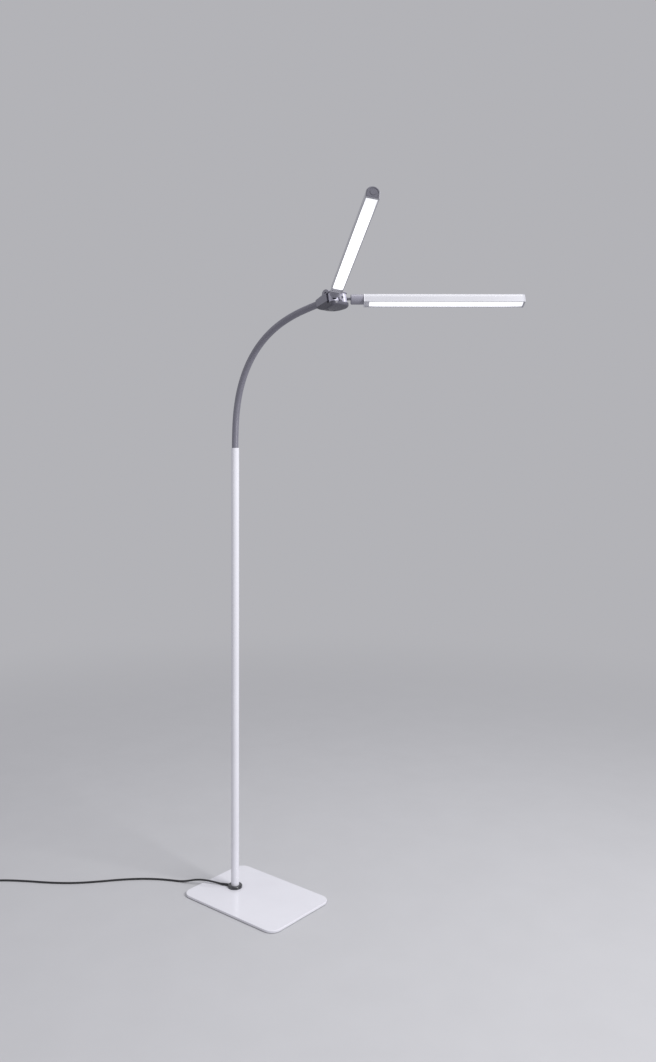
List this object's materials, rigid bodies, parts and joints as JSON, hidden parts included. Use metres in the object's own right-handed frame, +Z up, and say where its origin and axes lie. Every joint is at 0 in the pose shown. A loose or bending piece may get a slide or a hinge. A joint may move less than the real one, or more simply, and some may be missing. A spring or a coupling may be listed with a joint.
{
  "type": "floor lamp",
  "caption": "Floor lamp with a flat base, a slim pole, a bending gooseneck and two light bars that fold, tilt and swivel on a hub.",
  "frame": {"origin": "on the floor, at the middle of the base's underside", "axes": "+Z up, +X along the base's long side from the pole towards the light bars, +Y to the left of the lamp"},
  "size_m": [1.2334, 0.7674, 1.5139],
  "materials": {
    "white_paint": "gloss",
    "grey_sleeve": "satin",
    "dark_grey_plastic": "satin",
    "grey_plastic": "satin",
    "white_aluminium": "satin",
    "diffuser": "matte",
    "board": "matte",
    "led": "gloss",
    "black_rubber": "matte",
    "black_plastic": "matte",
    "steel": "satin"
  },
  "bodies": {
    "root": {"base_plate": "white_paint", "base_pad": "black_rubber", "base_screw": "steel", "pole_foot_collar": "black_rubber", "pole_foot_plug": "steel", "pole_lead": "black_rubber", "pole_lower": "white_paint", "pole_middle": "white_paint", "pole_upper": "white_paint", "pole_coupler_lower": "steel", "pole_coupler_upper": "steel", "gooseneck_bush": "steel", "lead_strain_relief": "black_rubber", "power_lead": "black_rubber", "lead_coil": "black_rubber", "lead_coil_tie": "black_rubber", "lead_tail": "black_rubber", "adapter_strain_relief": "black_rubber", "power_adapter": "black_plastic", "adapter_prongs": "steel"},
    "neck_1": {"gooseneck_link_1": "grey_sleeve", "gooseneck_lower_spigot": "steel"},
    "neck_2": {"gooseneck_link_2": "grey_sleeve"},
    "neck_3": {"gooseneck_link_3": "grey_sleeve"},
    "neck_4": {"gooseneck_link_4": "grey_sleeve"},
    "neck_5": {"gooseneck_link_5": "grey_sleeve"},
    "neck_6": {"gooseneck_link_6": "grey_sleeve"},
    "neck_7": {"gooseneck_link_7": "grey_sleeve"},
    "head": {"gooseneck_link_8": "grey_sleeve", "gooseneck_upper_spigot": "steel", "hub_lower_shell": "dark_grey_plastic", "hub_upper_shell": "grey_plastic", "hub_cover_screws": "steel", "hub_boss_screw": "steel", "fold_washers": "steel"},
    "left_fold": {"left_fold_barrel": "grey_plastic", "left_tilt_pin": "steel"},
    "left_tilt": {"left_swivel_stem": "steel", "left_stem_nut": "steel"},
    "left_bar": {"left_neck_block": "grey_plastic", "left_inner_end_cap": "grey_plastic", "left_light_housing": "white_aluminium", "left_light_diffuser": "diffuser", "left_led_board": "board", "left_led_chips": "led", "left_outer_end_cap": "dark_grey_plastic", "left_cap_button": "grey_plastic"},
    "right_fold": {"right_fold_barrel": "grey_plastic", "right_tilt_pin": "steel"},
    "right_tilt": {"right_swivel_stem": "steel", "right_stem_nut": "steel"},
    "right_bar": {"right_neck_block": "grey_plastic", "right_inner_end_cap": "grey_plastic", "right_light_housing": "white_aluminium", "right_light_diffuser": "diffuser", "right_led_board": "board", "right_led_chips": "led", "right_outer_end_cap": "dark_grey_plastic", "right_cap_button": "grey_plastic"}
  },
  "joints": [
    {"name": "neck_swing", "type": "hinge", "parent": "root", "child": "neck_1", "pos_m": [-0.069, 0, 1.05], "axis": [0, 0, 1], "range_deg": [-60, 60]},
    {"name": "neck_bend_lower", "type": "hinge", "parent": "neck_1", "child": "neck_2", "pos_m": [-0.06704, 0, 1.10758], "axis": [0, 1, 0], "range_deg": [-8, 8]},
    {"name": "neck_bend_lower_2", "type": "hinge", "parent": "neck_2", "child": "neck_3", "pos_m": [-0.05864, 0, 1.16453], "axis": [0, 1, 0], "range_deg": [-8, 8]},
    {"name": "neck_bend_lower_3", "type": "hinge", "parent": "neck_3", "child": "neck_4", "pos_m": [-0.03981, 0, 1.21887], "axis": [0, 1, 0], "range_deg": [-8, 8]},
    {"name": "neck_bend_upper", "type": "hinge", "parent": "neck_4", "child": "neck_5", "pos_m": [-0.009, 0, 1.2674], "axis": [0, 1, 0], "range_deg": [-10, 10]},
    {"name": "neck_bend_upper_2", "type": "hinge", "parent": "neck_5", "child": "neck_6", "pos_m": [0.03275, 0, 1.3069], "axis": [0, 1, 0], "range_deg": [-10, 10]},
    {"name": "neck_bend_upper_3", "type": "hinge", "parent": "neck_6", "child": "neck_7", "pos_m": [0.0825, 0, 1.33575], "axis": [0, 1, 0], "range_deg": [-10, 10]},
    {"name": "neck_bend_upper_4", "type": "hinge", "parent": "neck_7", "child": "head", "pos_m": [0.1368, 0, 1.35486], "axis": [0, 1, 0], "range_deg": [-10, 10]},
    {"name": "left_fold", "type": "hinge", "parent": "head", "child": "left_fold", "pos_m": [0.24393, 0.015, 1.37595], "axis": [-0.1908, 0, 0.9816], "range_deg": [-35.6, 68.4]},
    {"name": "left_tilt", "type": "hinge", "parent": "left_fold", "child": "left_tilt", "pos_m": [0.24393, 0.015, 1.37595], "axis": [0.6517, -0.7478, 0.1267], "range_deg": [-11.9, 28.1]},
    {"name": "left_swivel", "type": "hinge", "parent": "left_tilt", "child": "left_bar", "pos_m": [0.24393, 0.015, 1.37595], "axis": [0.7536, 0.6573, 0.003], "range_deg": [-135.2, 164.8]},
    {"name": "right_fold", "type": "hinge", "parent": "head", "child": "right_fold", "pos_m": [0.24393, -0.015, 1.37595], "axis": [0.1908, 0, -0.9816], "range_deg": [-32.2, 71.8]},
    {"name": "right_tilt", "type": "hinge", "parent": "right_fold", "child": "right_tilt", "pos_m": [0.24393, -0.015, 1.37595], "axis": [-0.607, -0.7859, -0.118], "range_deg": [-30.3, 9.7]},
    {"name": "right_swivel", "type": "hinge", "parent": "right_tilt", "child": "right_bar", "pos_m": [0.24393, -0.015, 1.37595], "axis": [0.7249, -0.6084, 0.323], "range_deg": [-133.2, 166.8]}
  ],
  "couplings": [
    {"joint": "neck_bend_lower_2", "follows": "neck_bend_lower", "ratio": 1},
    {"joint": "neck_bend_lower_3", "follows": "neck_bend_lower", "ratio": 1},
    {"joint": "neck_bend_upper_2", "follows": "neck_bend_upper", "ratio": 1},
    {"joint": "neck_bend_upper_3", "follows": "neck_bend_upper", "ratio": 1},
    {"joint": "neck_bend_upper_4", "follows": "neck_bend_upper", "ratio": 1}
  ]
}
